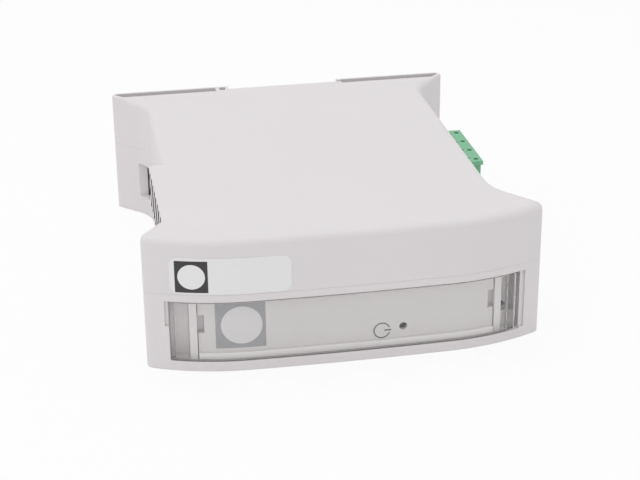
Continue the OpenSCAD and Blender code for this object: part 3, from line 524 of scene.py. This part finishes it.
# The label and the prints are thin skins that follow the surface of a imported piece
printSet = {
    "lift": 0.03,
    "thickness": 0.02,
    "rows": 2,
    "ahead": 10,  # the surface is looked for from this far in front of the object
}


def layOn(mesh, node, lift):
    target = frame["nodes"][node].data
    tree = BVHTree.FromPolygons([vert.co for vert in target.vertices],
                                [polygon.vertices[:] for polygon in target.polygons])
    start = cadLow.y - printSet["ahead"] * mm
    for vert in mesh.verts:
        hit = tree.ray_cast(Vector((vert.co.x, start, vert.co.z)), Vector((0, 1, 0)))[0]
        vert.co.y = hit.y - lift * mm


def printSkin(mesh, name, finish, node, lift=printSet["lift"], thickness=printSet["thickness"]):
    layOn(mesh, node, lift)
    bmesh.ops.solidify(mesh, geom=mesh.faces[:], thickness=thickness * mm)
    bmesh.ops.recalc_face_normals(mesh, faces=mesh.faces)
    piece = addMesh(mesh, name, materials[finish])
    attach(piece, "housing")
    return piece


# A sheet that lies flat around the origin
def flatSheet(width, height, columns=1, rows=1):
    mesh = bmesh.new()
    bmesh.ops.create_grid(mesh, x_segments=columns, y_segments=rows, size=0.5)  # 1 wide and 1 high
    bmesh.ops.scale(mesh, vec=(width * mm, height * mm, 1), verts=mesh.verts)
    return mesh


# What lies flat is turned to face the front, with its middle at x and z and a tilt in degrees
def standUp(mesh, x, z, tilt=0):
    turn = Matrix.Rotation(math.radians(90), 3, "X") @ Matrix.Rotation(math.radians(-tilt), 3, "Z")
    bmesh.ops.rotate(mesh, cent=(0, 0, 0), matrix=turn, verts=mesh.verts)
    bmesh.ops.translate(mesh, vec=(x * mm, 0, z * mm), verts=mesh.verts)


# A printed rectangle with columns of faces that bend with the curved front
def printedRectangle(left, right, low, high, column):
    mesh = flatSheet(right - left, high - low, round((right - left) / column), printSet["rows"])
    standUp(mesh, (left + right) / 2, (low + high) / 2)
    return mesh


# A printed disc, made of rings so that it bends too
def printedDisc(x, z, radius, rings, segments):
    mesh = bmesh.new()
    bmesh.ops.create_circle(mesh, cap_ends=False, segments=segments, radius=radius * mm)
    rim = mesh.edges[:]
    for ring in range(rings, 0, -1):
        grown = bmesh.ops.extrude_edge_only(mesh, edges=rim)["geom"]
        verts = {part for part in grown if isinstance(part, bmesh.types.BMVert)}
        share = ring / (ring + 1)
        bmesh.ops.scale(mesh, vec=(share, share, 1), verts=list(verts))
        rim = [edge for edge in mesh.edges if verts.issuperset(edge.verts)]
    bmesh.ops.contextual_create(mesh, geom=rim)
    standUp(mesh, x, z)
    return mesh


# Label sheet with round corners, bent with the curved front
labelSet = {
    "across": (-43.4, -14.6),
    "up": (20.72, 30.1),
    "corner": 2.0,
    "cornerSteps": 6,
    "tilt": 0.5,  # degrees
    "lift": 0.1,
    "thickness": 0.09,
    "column": 0.6,
}


def buildLabel():
    left, right = labelSet["across"]
    low, high = labelSet["up"]
    mesh = flatSheet(right - left, high - low)
    bmesh.ops.bevel(mesh, geom=mesh.verts[:], offset=labelSet["corner"] * mm, offset_type="OFFSET",
                    segments=labelSet["cornerSteps"], profile=0.5, affect="VERTICES", material=-1)
    standUp(mesh, (left + right) / 2, (low + high) / 2, labelSet["tilt"])
    columns = round((right - left) / labelSet["column"])
    for i in range(1, columns):
        cut = left + (right - left) * i / columns
        bmesh.ops.bisect_plane(mesh, geom=[*mesh.verts, *mesh.edges, *mesh.faces],
                               plane_co=(cut * mm, 0, 0), plane_no=(1, 0, 0))
    sheet = printSkin(mesh, "labelSheet", "labelPaper", "side_hood",
                      labelSet["lift"], labelSet["thickness"])
    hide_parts("number_plate")


buildLabel()

# Plain device on the label: a dark square with a pale disc
plateSet = {
    "square": (-42.2, -34.5, 21.2, 29.4),  # left, right, low, high
    "column": 0.6,
    "disc": (-38.35, 25.3, 3.2),  # x, z, radius
    "rings": 3,
    "segments": 48,
    "inks": ("inkDark", "labelPaper"),
}
# Plain device on the panel: a grey square with a pale disc
panelSet = {
    "square": (-32.9, -20.8, 5.3, 17.5),
    "column": 0.8,
    "disc": (-26.6, 11.4, 5.0),
    "rings": 4,
    "segments": 64,
    "inks": ("inkGrey", "inkPale"),
}


def buildDevice(name, values, node):
    squareInk, discInk = values["inks"]
    square = printedRectangle(*values["square"], values["column"])
    printSkin(square, name + "Square", squareInk, node)
    disc = printedDisc(*values["disc"], values["rings"], values["segments"])
    printSkin(disc, name + "Disc", discInk, node, 2 * printSet["lift"])


buildDevice("plate", plateSet, "number_plate")
buildDevice("panel", panelSet, "front_panel")

# Power mark beside the lamp: an open ring with a bar through its gap
powerSet = {
    "centre": (7.86, 6.65),
    "radius": 1.98,
    "line": 0.34,
    "gap": 40,  # degrees
    "steps": 56,
    "bar": (0.65, 2.35),
    "barLine": 0.42,
    "column": 0.5,
}


def buildPowerMark():
    x, z = powerSet["centre"]
    half = powerSet["line"] / 2
    start = math.radians(powerSet["gap"] / 2)
    mesh = bmesh.new()
    ends = [mesh.verts.new(((powerSet["radius"] + side) * mm, 0, 0)) for side in (-half, half)]
    edge = mesh.edges.new(ends)
    bmesh.ops.rotate(mesh, cent=(0, 0, 0), matrix=Matrix.Rotation(-start, 3, "Y"), verts=mesh.verts)
    bmesh.ops.spin(mesh, geom=[*ends, edge], cent=(0, 0, 0), axis=(0, -1, 0),
                   angle=2 * math.pi - 2 * start, steps=powerSet["steps"])
    bmesh.ops.translate(mesh, vec=(x * mm, 0, z * mm), verts=mesh.verts)
    printSkin(mesh, "powerRing", "inkLine", "front_panel")
    first, last = powerSet["bar"]
    half = powerSet["barLine"] / 2
    bar = printedRectangle(x + first, x + last, z - half, z + half, powerSet["column"])
    printSkin(bar, "powerBar", "inkLine", "front_panel")


buildPowerMark()
print("label and prints laid on the housing and the panel")


# Where a camera or lamp stands and looks, rolled by some degrees
def lookAlong(place, direction, roll=0):
    turned = Vector(direction).to_track_quat("-Z", "Y").to_matrix()
    turned = turned @ Matrix.Rotation(math.radians(roll), 3, "Z")
    return Matrix.Translation(Vector(place) * mm) @ turned.to_4x4()


# Camera at the photograph's viewing angle
cameraSet = {
    "place": (-68.8, -397.8, 188.8),
    "direction": (0.1606, 0.8983, -0.4089),
    "roll": -0.584,
    "lens": 90.56,
    "sensor": 36.0,
    "near": 10,
}


def buildCamera():
    data = bpy.data.cameras.new("camera")
    data.lens = cameraSet["lens"]
    data.sensor_width = cameraSet["sensor"]
    data.clip_start = cameraSet["near"] * mm
    camera = addObject("camera", data)
    camera.matrix_world = lookAlong(cameraSet["place"], cameraSet["direction"], cameraSet["roll"])
    bpy.context.scene.camera = camera


# Light of the surroundings on the object, and the strength at which the background is seen
lightSet = {
    "sky": 0.72,
    "seen": 1.0,
    "white": (1, 1, 1, 1),
}


# 1 for rays that see the background: from the camera, off gloss, and through clear plastic
def seenRays(tree):
    rays = addNode(tree, "ShaderNodeLightPath").outputs
    seen = rays["Is Camera Ray"]
    for ray in ("Is Glossy Ray", "Is Transmission Ray"):
        either = addNode(tree, "ShaderNodeMath", {0: seen, 1: rays[ray]}, operation="MAXIMUM")
        seen = either.outputs["Value"]
    return seen


def buildWorld():
    world = bpy.data.worlds.new("studio")
    bpy.context.scene.world = world
    world.use_nodes = True
    tree = world.node_tree
    sky = tree.nodes["Background"]
    feed(sky, {"Color": lightSet["white"], "Strength": lightSet["sky"]})
    backdrop = addNode(tree, "ShaderNodeBackground", {
        "Color": lightSet["white"], "Strength": lightSet["seen"],
    })
    mix = addNode(tree, "ShaderNodeMixShader", {
        0: seenRays(tree), 1: sky.outputs["Background"], 2: backdrop.outputs["Background"],
    })
    feed(tree.nodes["World Output"], {"Surface": mix.outputs["Shader"]})


# Pale floor that looks as bright as the background and still takes the object's shadow
floorSet = {
    "half": 3000,
    "below": 0.05,
    "paper": tone(250, 250, 250),
    "roughness": 0.9,
    "seenShare": 0.85,
}


def buildFloor():
    material, shader = startMaterial("floorPaper", {
        "Base Color": floorSet["paper"], "Roughness": floorSet["roughness"],
    })
    tree = material.node_tree
    glow = addNode(tree, "ShaderNodeEmission", {"Strength": lightSet["seen"]})
    share = addNode(tree, "ShaderNodeMath", {
        0: seenRays(tree), 1: floorSet["seenShare"],
    }, operation="MULTIPLY")
    mix = addNode(tree, "ShaderNodeMixShader", {
        0: share.outputs["Value"], 1: shader.outputs["BSDF"], 2: glow.outputs["Emission"],
    })
    feed(tree.nodes["Material Output"], {"Surface": mix.outputs["Shader"]})
    mesh = bmesh.new()
    bmesh.ops.create_grid(mesh, x_segments=1, y_segments=1, size=floorSet["half"] * mm)
    bmesh.ops.translate(mesh, vec=(0, 0, -floorSet["below"] * mm), verts=mesh.verts)
    addMesh(mesh, "floor", material)


# Soft round lamps above and on the left
lampSet = {
    "topLamp": {"place": (-100, -50, 750), "aim": (0, 0, 0), "size": 700, "power": 1.5},
    "leftLamp": {"place": (-800, -300, 350), "aim": (0, 0, 20), "size": 500, "power": 0.42},
}


def addLamp(name, place, aim, size, power):
    data = bpy.data.lights.new(name, "AREA")
    data.shape = "DISK"
    data.size = size * mm
    data.energy = power
    addObject(name, data).matrix_world = lookAlong(place, Vector(aim) - Vector(place))


buildCamera()
buildWorld()
buildFloor()
for name, values in lampSet.items():
    addLamp(name, **values)
bpy.context.scene.view_settings.view_transform = "Standard"
print("camera, floor and light placed")

bpy.context.view_layer.update()
